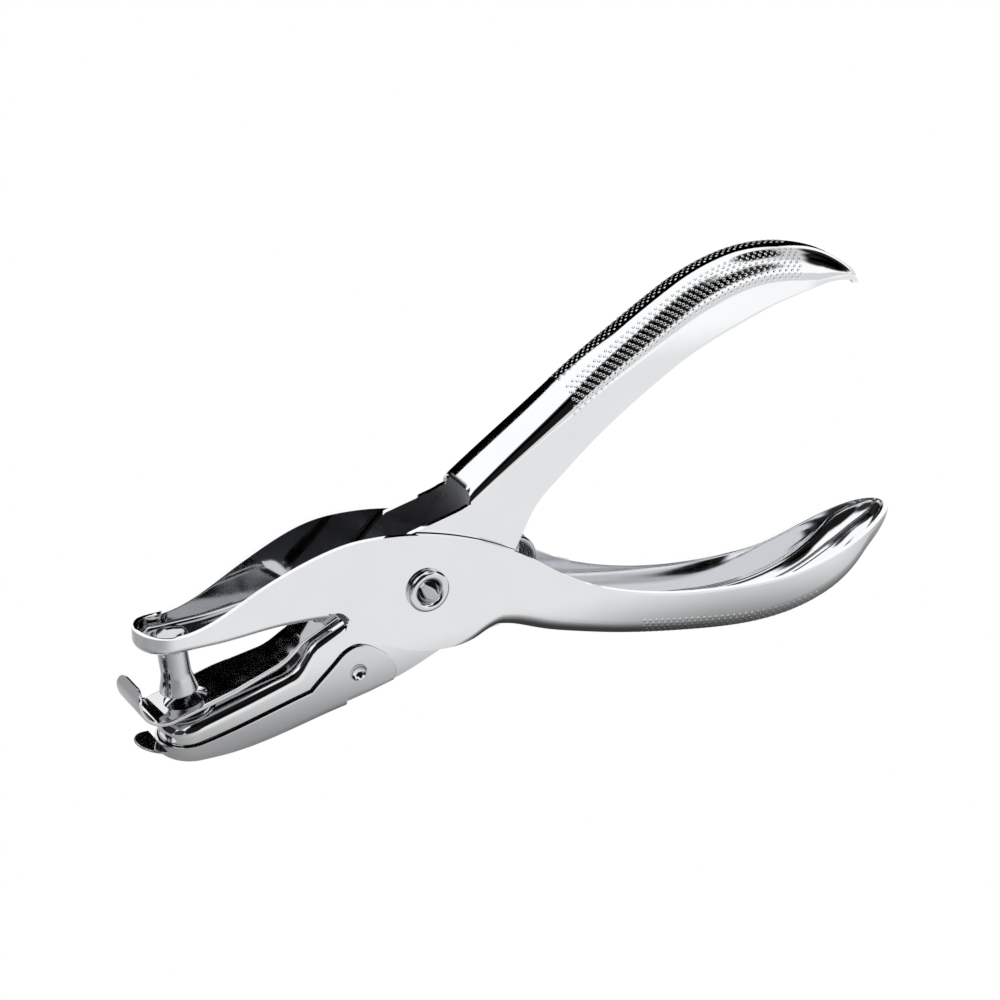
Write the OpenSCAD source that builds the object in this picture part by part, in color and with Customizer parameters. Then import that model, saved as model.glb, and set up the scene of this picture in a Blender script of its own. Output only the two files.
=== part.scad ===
// Plier-type single hole punch, pressed from chromed steel sheet.
// Built round the pivot axis: jaws towards -X, handles towards +X, levers side by side along Y.

/* [Levers] */
// Thickness of the steel sheet of both levers
sheet = 1.0; // [0.8:0.1:1.3]
// Outside width of the inner lever, which carries the die
die_lever_w = 9.4; // [8.8:0.1:10.6]
// Side play between the walls of the two levers
side_gap = 0.15; // [0.1:0.01:0.25]
// Height of the pivot axis above the table
pivot_height = 20.7; // [19.8:0.1:22.5]
// Radius of the pivot rivet's shank
pivot_r = 2.5; // [2:0.1:3]
// Running clearance of the pivot and tray hinge bores
run_clear = 0.06; // [0.03:0.01:0.09]
// Closing turn of the levers until the pin meets the die
cut_angle = 5; // [4.4:0.1:5.6]

/* [Upper jaw] */
// Distance of the pin from the pivot, along the upper jaw's underside
jaw_reach = 39.8; // [37:0.2:43]
// Length of the upper jaw's nose in front of the pin
nose_len = 5.9; // [5:0.1:7.5]
// Outside width of the upper jaw at the nose
nose_w = 9.6; // [8.6:0.1:10.4]
// Depth of the upper jaw's underside below the pivot axis
jaw_drop = 2.15; // [1.6:0.05:2.6]
// Height of the upper jaw's wall beside the pin
jaw_wall = 3.5; // [2.8:0.1:4.6]
// Extra height of the wall round the nose
nose_rise = 1.4; // [0.4:0.1:2]
// Height of the cheeks above the pivot axis
cheek_top = 10.4; // [9.6:0.1:11.5]
// Depth of the cheeks below the pivot axis
cheek_drop = 10.8; // [10.2:0.1:11.6]
// Rear end of the upper jaw's floor, in front of the pivot
jaw_floor_end = 16.5; // [15.8:0.1:18]

/* [Lower handle] */
// Distance of the spoon's tip from the pivot
spoon_reach = 86.3; // [80:0.5:95]
// Outside width of the spoon end
spoon_w = 13.2; // [12:0.2:15]
// Depth of the handle's rim below the pivot axis, at its lowest
rim_drop = 12.4; // [11:0.1:14]
// Depth of the spoon's tip below the pivot axis
tip_drop = 6.2; // [4.5:0.1:8]
// Front end of the lower handle's floor, behind the pivot
handle_floor_start = 13; // [12.6:0.1:14]

/* [Upper handle] */
// Distance of the upper handle's tip behind the pivot
top_tip_x = 79; // [74:0.5:84]
// Height of the upper handle's tip above the pivot
top_tip_z = 35; // [33:0.2:38]
// Height of the handle's crown above the pivot
crown_h = 43.2; // [41:0.2:46]
// Front edge of the upper handle's back, behind the pivot
back_start = 7.8; // [7:0.1:8.6]

/* [Punch] */
// Diameter of the punched hole
hole_d = 6; // [5:0.1:6.4]
// Diameter of the pin's relieved neck
neck_d = 4.5; // [4:0.1:5]
// Length of the pin below the upper jaw
pin_len = 8.1; // [7.4:0.1:8.8]
// Lean of the pin, away from square to the upper jaw
pin_tilt = 9.5; // [8:0.1:11]
// Height of the straight cutting land at the pin's tip
land_h = 0.6; // [0.4:0.1:1]
// Height of the flared head, from its tip up to the neck
flare_h = 2.6; // [2:0.1:3.2]
// Radial clearance of the pin in the die
die_clear = 0.15; // [0.12:0.01:0.25]
// Radial clearance of the pin in the stripper
strip_clear = 0.4; // [0.36:0.01:0.5]
// Outside diameter of the die's raised face
die_face_d = 8.4; // [8:0.1:8.6]
// Height of the die's face above the lower jaw
die_rise = 0.3; // [0.2:0.05:0.5]

/* [Stripper] */
// Thickness of the stripper plate
strip_t = 0.5; // [0.4:0.05:0.6]
// Height of the paper slot above the die
slot_h = 1.3; // [1.1:0.05:1.6]
// Length of the turned-up front tongue
tongue_len = 9.2; // [7:0.1:10]
// Angle of the tongue above the level
tongue_rise = 47; // [40:1:55]
// Width of the plate's tail on its seat
tail_w = 6; // [5:0.1:7]
// Radius of the tail rivet's shank
tail_rivet_r = 1; // [0.8:0.05:1.2]

/* [Chip tray] */
// Thickness of the tray's sheet
tray_t = 0.6; // [0.5:0.05:0.8]
// Side play between the tray and the inner lever
tray_gap = 0.2; // [0.15:0.01:0.3]
// Radius of the tray's hinge bosses
boss_r = 1.7; // [1.4:0.1:2]
// Length of the fingernail lip
lip_len = 3.6; // [2.5:0.1:4.5]
// Width of the fingernail lip
lip_w = 7.6; // [6:0.1:9]
// Height of the tray's wall at the nose
tray_wall = 2.8; // [2.2:0.1:3.4]

/* [Return spring] */
// Diameter of the spring wire
wire_d = 1.1; // [0.9:0.05:1.2]
// Mean radius of the coil
coil_r = 4.95; // [4.5:0.05:5.3]
// Clear gap between neighbouring turns
turn_gap = 0.5; // [0.45:0.01:0.6]
// Whole turns of the coil
coil_turns = 3; // [2:1:3]

/* [Hidden] */
$fn = 96;
curve_steps = 7;
arc_steps = 14;
far = 200;
seat_gap = 0.04;
cut_over = 1;

// Plane geometry: points are [x, z] in side view, knots are [x, z, heading in degrees]
function aim(h) = [cos(h), sin(h)];
function across(h) = [-sin(h), cos(h)];
function turned(p, a) = [p.x * cos(a) - p.y * sin(a), p.x * sin(a) + p.y * cos(a)];
function knot(p, h) = [p.x, p.y, h];
function place(k) = [k.x, k.y];
function reversed(l) = [for (i = [len(l) - 1 : -1 : 0]) l[i]];
function mirrored(l) = [for (p = reversed(l)) [p.x, -p.y]];
function last(l) = l[len(l) - 1];

// Point at share u of the cubic between two knots
function between(p, q, u) =
    let (chord = norm(place(q) - place(p)))
    (2 * u ^ 3 - 3 * u ^ 2 + 1) * place(p) + (u ^ 3 - 2 * u ^ 2 + u) * chord * aim(p.z)
    + (3 * u ^ 2 - 2 * u ^ 3) * place(q) + (u ^ 3 - u ^ 2) * chord * aim(q.z);

// Smooth line through a list of knots
function curve(k) = concat(
    [for (i = [0 : len(k) - 2]) for (j = [0 : curve_steps - 1]) between(k[i], k[i + 1], j / curve_steps)],
    [place(last(k))]);

// The same line moved sideways by d, to the left of its run
function beside(c, d) = [for (i = [0 : len(c) - 1])
    let (run = c[min(i + 1, len(c) - 1)] - c[max(i - 1, 0)])
    c[i] + d * [-run.y, run.x] / norm(run)];

// Quarter of an ellipse about [cx, 0], from angle a to angle b
function quarter(cx, rx, ry, a, b) = [for (i = [0 : arc_steps])
    let (t = a + (b - a) * i / arc_steps) [cx + rx * cos(t), ry * sin(t)]];

// Solid of a side view outline, w wide
module side_solid(outline, w) {
    rotate([90, 0, 0]) linear_extrude(w, center = true) polygon(outline);
}

// Solid standing on one half of a plan outline and its mirror image
module plan_solid(half) {
    linear_extrude(far, center = true) polygon(concat(half, mirrored(half)));
}

// Pressed channel: a side outline within a plan, hollowed by an inner outline within an inner plan
module channel(outline, half, hollow, inner_half) {
    difference() {
        intersection() {
            side_solid(outline, far);
            plan_solid(half);
        }
        intersection() {
            side_solid(hollow, far);
            plan_solid(inner_half);
        }
    }
}

// Bar along Y at a side view point
module cross_bar(p, r, w) {
    translate([p.x, 0, p.y]) rotate([90, 0, 0]) cylinder(r = r, h = w, center = true);
}

// Children stand on a side view point, their Z axis leaning by lean towards -X
module leaning(p, lean) {
    translate([p.x, 0, p.y]) rotate([0, -lean, 0]) children();
}

// Widths, measured from the middle plane
die_half = die_lever_w / 2;
cheek_in = die_half + side_gap;
cheek_out = cheek_in + sheet;
nose_half = nose_w / 2;
spoon_half = spoon_w / 2;
tray_in = die_half + tray_gap;
tray_out = tray_in + tray_t;

// Where the pin stands, and the die frame that follows from its swing
pin_foot = [-jaw_reach, -jaw_drop];
pin_tip = pin_foot - pin_len * across(pin_tilt);
hole_r = hole_d / 2;
neck_r = neck_d / 2;
jaw_lean = pin_tilt + cut_angle;
die_mid = turned(pin_tip, cut_angle);
function jaw(s, n) = die_mid + s * aim(jaw_lean) + n * across(jaw_lean);
function jaw_run(x) = (x - die_mid.x) / cos(jaw_lean);

// Outer lever: upper jaw, cheeks and lower handle
nose_x = pin_foot.x - nose_len;
nose_mid = nose_x + nose_half;
jaw_rim = jaw_wall - jaw_drop;
nose_bend = 2.6;
cheek_peak_x = -11;
cheek_low_x = 4.5;
slope_knot = [-26, 6.2, 24];
pivot_knot = [0, 9.1, -14];
crotch_knot = [19.8, -0.2, -38];
heel_knot = [30.6, -6.8, -23];
rim_low_x = 62;
scoop_knot = [74, -10.2, 17];
tip_knot = [spoon_reach, -tip_drop, 12];
rim_line = curve([
    [nose_x, jaw_rim + nose_rise, -16],
    [pin_foot.x, jaw_rim, 0],
    slope_knot,
    [cheek_peak_x, cheek_top, 0],
    pivot_knot,
    crotch_knot,
    heel_knot,
    [rim_low_x, -rim_drop, 0],
    scoop_knot,
    tip_knot]);
jaw_arch = 0.8;
seat_flat = 5;
jaw_floor_line = curve([
    [nose_x, nose_bend - jaw_drop, -90],
    [nose_x + nose_bend, -jaw_drop, 0],
    [pin_foot.x + seat_flat, -jaw_drop, 0],
    [-22, jaw_arch - jaw_drop, 0],
    [-jaw_floor_end, jaw_arch - jaw_drop - 0.3, -10]]);
notch_top = -0.4;
notch_w = 1.2;
cheek_line = curve([
    [notch_w - jaw_floor_end, notch_top, 0],
    [-11.8, -3.7, -47],
    [-6.9, -7.7, -34],
    [cheek_low_x, -cheek_drop, 0],
    [12, -9.9, 6]]);
spring_knot_low = [28.6, -15.3, -17];
handle_floor_line = curve([
    [handle_floor_start, -9.9, -8],
    [20, -12.4, -23],
    spring_knot_low,
    [45, -19, -10],
    [60, -pivot_height, 0],
    [72, -18.7, 21],
    [80, -13.6, 46],
    [spoon_reach - 0.6, -tip_drop - 0.9, 58]]);
punch_side = concat(rim_line, reversed(handle_floor_line), reversed(cheek_line),
    [[notch_w - jaw_floor_end - 0.8, notch_top - 0.4]], reversed(jaw_floor_line));
punch_hollow = concat(beside(jaw_floor_line, sheet), [[-jaw_floor_end, -far], [handle_floor_start, -far],
    handle_floor_line[0] + [0, sheet]], beside(handle_floor_line, sheet), [[far, far / 2], [-far, far / 2]]);
cheek_from = -14;
cheek_to = 16;
scoop_from = 72;
function punch_half(inset) = concat(
    quarter(nose_mid, nose_half - inset, nose_half - inset, 180, 90),
    curve([
        [nose_mid + 1, nose_half - inset, 1],
        [-28, nose_half + 0.25 - inset, 2],
        [cheek_from, cheek_out - inset, 0]]),
    curve([
        [cheek_to, cheek_out - inset, 0],
        [50, cheek_out + 0.2 - inset, 1],
        [scoop_from, spoon_half - inset, 0]]),
    quarter(scoop_from, spoon_reach - scoop_from - inset, spoon_half - inset, 90, 0));

// Inner lever: lower jaw, side walls and upper handle
seat_mid = [-16, -4.4];
seat_lean = 25;
seat_front = seat_mid - 3.2 * aim(seat_lean);
seat_end = seat_mid + 3 * aim(seat_lean);
ramp_run = 2.8;
ramp_s = jaw_run(seat_front.x - ramp_run);
die_nose_r = die_half;
lower_jaw_line = curve([
    knot(jaw(-die_nose_r - 0.4, -die_rise), jaw_lean),
    knot(jaw(ramp_s, -die_rise), jaw_lean),
    knot(seat_front, seat_lean),
    knot(seat_end, seat_lean)]);
wall_corner = [-2.3, 9.3];
wall_front_line = curve([knot(seat_end, 60), knot(wall_corner, 43)]);
back_z = 13.7;
wall_top_line = curve([
    knot(wall_corner, 14),
    [back_start - 1.7, 12, 22],
    [back_start, back_z, 80]]);
spring_knot_top = [25, 26.4, 37.5];
crown_x = 59.5;
back_line = curve([
    [back_start, back_z, 38],
    spring_knot_top,
    [44, 38.7, 29.5],
    [crown_x, crown_h, 0],
    [70.5, 40.8, -23],
    [top_tip_x, top_tip_z, -42]]);
flange_line = curve([
    [15.6, 2.6, 58],
    [18.6, 8.4, 60],
    [24.4, 14.2, 42],
    [43.4, 27.6, 30],
    [58, 33.6, 19],
    [70, 36.3, 8],
    [top_tip_x - 0.7, top_tip_z - 0.8, -42]]);
stop_gap = 0.1;
stop_x = handle_floor_start - stop_gap;
rear_line = curve([[stop_x, -7.4, 90], [15.6, 2.6, 58]]);
ground = -pivot_height;
wall_lift = 1.8;
wall_foot_line = curve([
    [die_mid.x - die_nose_r - 0.4, ground + wall_lift, 0],
    [die_mid.x + 3, ground + wall_lift, 0],
    [-13, -15.9, 9],
    [-4.9, -14.3, 15],
    [2.6, -11.4, 22],
    [7, -10.2, 5],
    [stop_x, -9.6, 4]]);
die_side = concat(lower_jaw_line, wall_front_line, wall_top_line, back_line,
    reversed(flange_line), reversed(rear_line), reversed(wall_foot_line));
die_hollow = concat(beside(lower_jaw_line, -sheet), [[seat_end.x, far], [back_start, far]],
    beside(back_line, -sheet), [[far, -far / 2], [-far, -far / 2]]);
beak_from = 60;
function die_lever_half(inset) = concat(
    quarter(die_mid.x, die_nose_r - inset, die_nose_r - inset, 180, 90),
    quarter(beak_from, top_tip_x - beak_from - inset, die_half - inset, 90, 0));

// Stripper plate: tongue, flat over the die, ramp and tail
strip_s = -die_half;
tail_mid = seat_mid + (seat_gap + strip_t) * across(seat_lean);
tail_front = tail_mid - 3.2 * aim(seat_lean);
tail_end = tail_mid + 2.7 * aim(seat_lean);
rivet_shift = 1.2;
rivet_on_seat = seat_mid + rivet_shift * aim(seat_lean);
rivet_on_tail = tail_mid + rivet_shift * aim(seat_lean);
tongue_foot = jaw(strip_s, slot_h + strip_t);
tongue_tip = tongue_foot - tongue_len * aim(-tongue_rise);
strip_line = concat(
    [tongue_tip],
    curve([
        knot(tongue_foot - aim(-tongue_rise), -tongue_rise),
        knot(jaw(strip_s + 1, slot_h + strip_t), jaw_lean),
        knot(jaw(ramp_s - 2, slot_h + strip_t), jaw_lean),
        knot(tail_front, seat_lean),
        knot(tail_end, seat_lean)]));
strip_side = concat(strip_line, reversed(beside(strip_line, -strip_t)));
strip_half = concat(
    quarter(tongue_foot.x, tongue_foot.x - tongue_tip.x, die_half, 180, 90),
    [[die_mid.x + hole_d, die_half], [seat_front.x - 1, tail_w / 2], [tail_end.x, tail_w / 2]]);

// Chip tray: floor, side walls with hinge ears, and front lip
hinge = [-11.5, -11.6];
tray_nose_r = tray_out;
tray_nose_x = die_mid.x - tray_nose_r;
tray_end = -13.5;
tray_rim = ground + tray_wall;
tray_floor_line = curve([
    [tray_nose_x, ground + 1.6, -90],
    [tray_nose_x + 2, ground, 0],
    [die_mid.x + 3, ground, 0],
    [tray_end, -17.1, 10]]);
ear_corner = [-19.2, -13.2];
ear_line = concat(
    curve([[tray_nose_x, tray_rim, 0], [die_mid.x, tray_rim + 0.4, 9], knot(ear_corner, 13)]),
    curve([knot(ear_corner, 46), [-14.4, -8.7, 46], [-11.2, -7.3, 0], [-6.4, -9.9, -38], [-5, -12.8, -92]]));
ear_foot_line = curve([[tray_end, -16.1, 9], [-5.6, -14.3, 15]]);
tray_side = concat(ear_line, reversed(ear_foot_line), reversed(tray_floor_line));
tray_hollow = concat(beside(tray_floor_line, tray_t), [[tray_end, -far], [far, -far], [far, far], [-far, far]]);
function tray_half(r) = concat(quarter(die_mid.x, r, r, 180, 90), [[0, r]]);
boss_in = 0.8;
lip_tilt = 11;

// Pivot rivet: rolled rim on the near side, low dome on the far side
rivet_face = cheek_out + 0.03;
rim_r = pivot_r + 0.95;
rim_h = 1.1;
dimple_r = pivot_r - 0.5;
dimple_h = 3.2;
dome_r = pivot_r + 1.4;

// Return spring: legs meet the two handle floors square, the coil lies between them
coil_mid = [15, 0.2];
coil_pitch = wire_d + turn_gap;
leg_lift = 2 * wire_d;
foot_low = place(spring_knot_low) + (sheet + seat_gap) * across(spring_knot_low.z);
bend_low = foot_low + leg_lift * across(spring_knot_low.z);
foot_top = place(spring_knot_top) - (sheet + seat_gap) * across(spring_knot_top.z);
bend_top = foot_top - leg_lift * across(spring_knot_top.z);
function bearing(p) = atan2(p.y - coil_mid.y, p.x - coil_mid.x);
function leg_turn(p) = acos(coil_r / norm(p - coil_mid));
coil_from = bearing(bend_low) - leg_turn(bend_low);
coil_to = bearing(bend_top) + leg_turn(bend_top) - 360 * (coil_turns + 1);
coil_y = coil_pitch * (coil_from - coil_to) / 720;
curl_rings = 8;
coil_rings = round((coil_from - coil_to) * curl_rings / 360);
function coil_point(a) =
    [coil_mid.x + coil_r * cos(a), coil_pitch * (coil_from - a) / 360 - coil_y, coil_mid.y + coil_r * sin(a)];
function at_side(p, y) = [p.x, y, p.y];
coil_line = [for (i = [0 : coil_rings]) coil_point(coil_from + (coil_to - coil_from) * i / coil_rings)];
spring_line = concat(
    [at_side(foot_low, -coil_y), at_side((foot_low + bend_low) / 2, -coil_y), at_side(bend_low, -coil_y)],
    coil_line,
    [at_side(bend_top, coil_y), at_side((foot_top + bend_top) / 2, coil_y), at_side(foot_top, coil_y)]);
fine_step = 10;
fine_line = [for (a = [coil_from : -fine_step : coil_to]) coil_point(a)];
coil_gap = min([for (i = [0 : len(fine_line) - 1]) for (j = [i + 180 / fine_step : 1 : len(fine_line) - 1])
    norm(fine_line[i] - fine_line[j])]) - wire_d;
echo(return_spring_least_gap_mm = coil_gap);
tube_sides = 6;

// Ring of points round the wire at place i of its line
function wire_ring(l, i) =
    let (run = l[min(i + 1, len(l) - 1)] - l[max(i - 1, 0)],
        t = run / norm(run),
        v = cross(t, [0, 1, 0]),
        a = v / norm(v),
        b = cross(a, t))
    [for (k = [0 : tube_sides - 1])
        l[i] + wire_d / 2 * (cos(360 * k / tube_sides) * a + sin(360 * k / tube_sides) * b)];

// One unbroken tube along a line, in triangles
module wire(l) {
    n = tube_sides;
    m = len(l) - 1;
    polyhedron(
        points = [for (i = [0 : m]) each wire_ring(l, i)],
        faces = concat(
            [for (i = [0 : m - 1]) for (k = [0 : n - 1]) each [
                [i * n + k, i * n + (k + 1) % n, (i + 1) * n + k],
                [i * n + (k + 1) % n, (i + 1) * n + (k + 1) % n, (i + 1) * n + k]]],
            [for (k = [1 : n - 2]) [0, k + 1, k]],
            [for (k = [1 : n - 2]) [m * n, m * n + k, m * n + k + 1]]));
}

// The part stands on the table, centred between its front and rear ends
front_end = tongue_tip.x;
home = [-(front_end + spoon_reach) / 2, 0, pivot_height];

module punch_lever() {
    color("silver") difference() {
        channel(punch_side, punch_half(0), punch_hollow, punch_half(sheet));
        cross_bar([0, 0], pivot_r + seat_gap / 2, far);
        leaning(pin_foot, pin_tilt) cylinder(r = neck_r - 0.3, h = 4 * sheet, center = true);
    }
}

module die_lever() {
    color("gainsboro") difference() {
        channel(die_side, die_lever_half(0), die_hollow, die_lever_half(sheet));
        cross_bar([0, 0], pivot_r + run_clear, far);
        cross_bar(hinge, boss_r + run_clear, far);
        leaning(die_mid, jaw_lean) cylinder(r = die_spigot_r + seat_gap / 2, h = 6 * sheet, center = true);
        leaning(rivet_on_seat, seat_lean) cylinder(r = tail_rivet_r + seat_gap / 2, h = 4 * sheet, center = true);
    }
}

// Shank through both levers, with a hollow rolled head towards -Y and a dome towards +Y
module pivot_rivet() {
    color("lightgray") rotate([-90, 0, 0]) difference() {
        rotate_extrude() polygon(concat(
            [[0, -rivet_face - rim_h], [rim_r - rim_h / 2, -rivet_face - rim_h]],
            [for (i = [0 : arc_steps]) let (a = -90 + 90 * i / arc_steps)
                [rim_r - rim_h / 2 + rim_h / 2 * cos(a), -rivet_face - rim_h / 2 + rim_h / 2 * sin(a)]],
            [[rim_r, -rivet_face], [pivot_r, -rivet_face], [pivot_r, rivet_face], [dome_r, rivet_face]],
            [for (i = [0 : arc_steps]) let (a = 90 * i / arc_steps)
                [dome_r * cos(a), rivet_face + rim_h * sin(a)]]));
        translate([0, 0, -rivet_face - rim_h - cut_over])
            cylinder(r = dimple_r, h = dimple_h / 2 + cut_over);
        translate([0, 0, dimple_h / 2 - rivet_face - rim_h])
            cylinder(r1 = dimple_r, r2 = dimple_r / 4, h = dimple_h / 2);
    }
}

// Turned pin: flared cutting head, relieved neck, collar under the jaw, and a peened head above its floor
module punch_pin() {
    collar_h = 0.9;
    collar_r = neck_r + 0.4;
    peen_h = 0.9;
    color("darkgray") union() {
        difference() {
            leaning(pin_tip, pin_tilt) rotate_extrude() polygon([
                [0, 0.3], [hole_r - 0.4, 0.3], [hole_r - 0.1, 0], [hole_r, 0.1], [hole_r, land_h],
                [neck_r, flare_h], [neck_r, pin_len - collar_h], [collar_r, pin_len - collar_h],
                [collar_r, pin_len + sheet], [0, pin_len + sheet]]);
            translate([-far / 2, -far / 2, -jaw_drop - seat_gap]) cube(far);
        }
        leaning(pin_tip, pin_tilt) translate([0, 0, pin_len - collar_h])
            cylinder(r = neck_r - 0.3 - seat_gap / 2, h = collar_h + sheet + peen_h);
        difference() {
            leaning(pin_foot, pin_tilt) cylinder(r1 = neck_r + 0.6, r2 = neck_r - 0.2, h = sheet + peen_h + 0.4);
            translate([-far / 2, -far / 2, sheet + seat_gap - jaw_drop - far]) cube(far);
        }
    }
}

die_spigot_r = die_half - sheet - 0.1;
die_deep = 2.2;

// Hardened ring: raised cutting face, spigot through the jaw, bore relieved below the cutting edge
module die_bush() {
    bore_r = hole_r + die_clear;
    relief = 0.3;
    edge_h = 0.8;
    color("slategray") leaning(die_mid, jaw_lean) difference() {
        union() {
            translate([0, 0, seat_gap - die_rise]) cylinder(r = die_face_d / 2, h = die_rise - seat_gap);
            translate([0, 0, -die_deep]) cylinder(r = die_spigot_r, h = die_deep);
        }
        translate([0, 0, -die_deep - cut_over]) cylinder(r = bore_r, h = die_deep + 2 * cut_over);
        translate([0, 0, -die_deep - cut_over])
            cylinder(r = min(bore_r + relief, die_spigot_r - 0.15), h = die_deep - edge_h + cut_over);
    }
}

module stripper_plate() {
    color("whitesmoke") difference() {
        intersection() {
            side_solid(strip_side, far);
            plan_solid(strip_half);
        }
        leaning(jaw(0, slot_h), jaw_lean) cylinder(r = hole_r + strip_clear, h = 6 * strip_t, center = true);
        leaning(rivet_on_tail, seat_lean) cylinder(r = tail_rivet_r + seat_gap / 2, h = 6 * strip_t, center = true);
    }
}

// Small rivet that holds the stripper's tail down on its seat
module stripper_rivet() {
    head_h = 0.3;
    head_r = tail_rivet_r + 0.5;
    color("lightgray") leaning(rivet_on_tail, seat_lean) union() {
        translate([0, 0, seat_gap]) cylinder(r1 = head_r, r2 = tail_rivet_r, h = head_h);
        translate([0, 0, -strip_t - 2 * seat_gap - sheet - head_h])
            cylinder(r = tail_rivet_r, h = strip_t + 3 * seat_gap + sheet + head_h);
        translate([0, 0, -strip_t - 2 * seat_gap - sheet - head_h])
            cylinder(r1 = tail_rivet_r, r2 = head_r, h = head_h);
    }
}

module return_spring() {
    color("dimgray") wire(spring_line);
}

module chip_tray() {
    color("silver") difference() {
        union() {
            channel(tray_side, tray_half(tray_out), tray_hollow, tray_half(tray_in));
            for (side = [-1, 1])
                translate([hinge.x, side * (tray_in + tray_t / 2 - boss_in / 2), hinge.y])
                    rotate([90, 0, 0]) cylinder(r = boss_r, h = tray_t + boss_in, center = true);
            translate([tray_nose_x + tray_t / 2, 0, tray_rim - tray_t]) rotate([0, lip_tilt, 0])
                linear_extrude(tray_t) polygon(concat(
                    quarter(0, lip_len, lip_w / 2, 270, 180), quarter(0, lip_len, lip_w / 2, 180, 90)));
        }
        for (side = [-1, 1])
            translate([hinge.x, side * tray_out, hinge.y]) sphere(r = boss_r - tray_t / 2);
        intersection() {
            side_solid(tray_hollow, far);
            plan_solid(tray_half(tray_in - boss_in - cut_over));
        }
    }
}

translate(home) {
    punch_lever();
    die_lever();
    pivot_rivet();
    punch_pin();
    die_bush();
    stripper_plate();
    stripper_rivet();
    return_spring();
    chip_tray();
}
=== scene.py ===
import math
from bisect import bisect

import bmesh
import bpy
from mathutils import Matrix, Vector
from mathutils.bvhtree import BVHTree
from mathutils.geometry import barycentric_transform, interpolate_bezier


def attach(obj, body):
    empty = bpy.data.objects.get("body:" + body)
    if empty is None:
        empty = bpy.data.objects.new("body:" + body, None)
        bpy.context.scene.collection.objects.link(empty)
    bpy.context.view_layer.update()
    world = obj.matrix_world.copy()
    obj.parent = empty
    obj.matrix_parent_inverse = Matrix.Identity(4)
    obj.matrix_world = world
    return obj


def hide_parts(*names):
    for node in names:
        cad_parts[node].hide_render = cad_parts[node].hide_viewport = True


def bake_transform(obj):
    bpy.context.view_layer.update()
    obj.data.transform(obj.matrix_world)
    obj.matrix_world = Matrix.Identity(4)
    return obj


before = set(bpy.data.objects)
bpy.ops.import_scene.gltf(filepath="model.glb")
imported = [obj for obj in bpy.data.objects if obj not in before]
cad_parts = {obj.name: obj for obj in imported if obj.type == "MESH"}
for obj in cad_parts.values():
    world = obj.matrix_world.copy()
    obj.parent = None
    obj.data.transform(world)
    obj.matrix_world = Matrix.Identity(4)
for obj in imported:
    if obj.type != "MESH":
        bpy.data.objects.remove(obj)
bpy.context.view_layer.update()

# Outer lever
# The lever that carries the punch pin: one channel pressed from 0.8 mm steel sheet,
# open upwards. Rounded upper jaw, two cheeks at the pivot, and the spoon handle with
# a dotted grip rolled into its underside. Polished, nickelled and chromed.
PIVOT = Vector((-18.7958, 0.0, 20.7))   # pivot centre from the frame's origin, mm
TO_FRAME = Matrix.Scale(0.001, 4) @ Matrix.Translation(PIVOT)
SHEET = 0.8
SHEET_EDGE = 0.22
MERGE = 0.0005                          # points nearer than this, in mm, become one
OUTER_RIM = [(-45.7, 1.3, -8), (-39.8, 0.85, 2), (-26, 6.2, 24), (-11, 10.4, 0),
             (0, 9.1, -14), (19.8, -0.2, -38), (30.6, -6.8, -23), (62, -12.4, 0),
             (74, -10.2, 17), (86.3, -6.2, 12)]
JAW_FLOOR = [(-45.7, -2.15, 0), (-34.8, -2.15, 0), (-22, -1.35, 0), (-16.5, -1.65, -10)]
HANDLE_FLOOR = [(13, -9.9, -8), (20, -12.4, -23), (28.6, -15.3, -17), (45, -19, -10),
                (60, -20.7, 0), (72, -18.7, 21), (80, -13.8, 44), (86.3, -8.2, 50)]
CHEEK_FOOT = [(-16.5, -0.45, 0), (-15.3, -0.4, 0), (-11.8, -3.7, -47), (-6.9, -7.7, -34),
              (4.5, -10.8, 0), (13, -9.9, -2)]
OUTER_BEND = [(-45.7, 1.5), (-36, 1.4), (-16.5, 1.4), (3, 2.2), (13, 2.6),
              (45, 2.8), (70, 3.6), (86.3, 3.6)]
OUTER_ROUND = [(-45.7, 2.0), (-22, 1.6), (3, 2.2), (13, 3.0), (30, 4.4), (86.3, 5.2)]
OUTER_CURL = [(-17, 0), (3.5, 0), (8, 28), (11.5, 68), (13, 90)]
OUTER_SIDE = [(-40.9, 4.8, 0), (-39.9, 4.8, 1), (-28, 5.05, 2), (-14, 5.85, 0),
              (16, 5.85, 0), (50, 6.05, 1), (72, 6.6, 0)]
OUTER_NOSE = (-40.9, 4.8, 4.8)          # centre, length and half width of a round end
OUTER_TIP = (72, 14.3, 6.6)
OUTER_OPEN = (-16.5, 13)                # no web between these, so that the inner lever passes
OUTER_ROWS = (10, 9, 6)                 # quads across a wall, a bend and half of the web
OUTER_GRIP = (92.0, 126.0)              # dots from and to, mm from the nose
OUTER_GRIP_BAND = (4.2, 8.2)            # dots from and to, mm from the centre line
OUTER_DOT_RISE = 0.13                   # height of a dot as a share of its radius
DOT_PITCH, DOT = 1.1, 0.54
ROW_STEP = 0.55 * DOT_PITCH
PIVOT_BORE, PIN_BORE = 2.52, 1.95       # radii


def edge_line(knots, fine=48):
    """Points of a pressed edge through knots of x, z and heading in degrees."""
    points = []
    for (x0, z0, from_turn), (x1, z1, to_turn) in zip(knots, knots[1:]):
        a, b = Vector((x0, 0, z0)), Vector((x1, 0, z1))
        third = (b - a).length / 3
        runs = [Vector((math.cos(math.radians(t)), 0, math.sin(math.radians(t)))) * third
                for t in (from_turn, to_turn)]
        points += interpolate_bezier(a, a + runs[0], b - runs[1], b, fine)[:-1]
    return points + [b]


def straight_line(pairs):
    """Points of a broken line through pairs of x and z."""
    return [Vector((x, 0, z)) for x, z in pairs]


def level(line, x):
    """Height of a line at x."""
    k = min(max(bisect(line, x, key=lambda p: p.x), 1), len(line) - 1)
    a, b = line[k - 1], line[k]
    return a.z + (b.z - a.z) * (x - a.x) / max(b.x - a.x, 1e-6)


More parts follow.
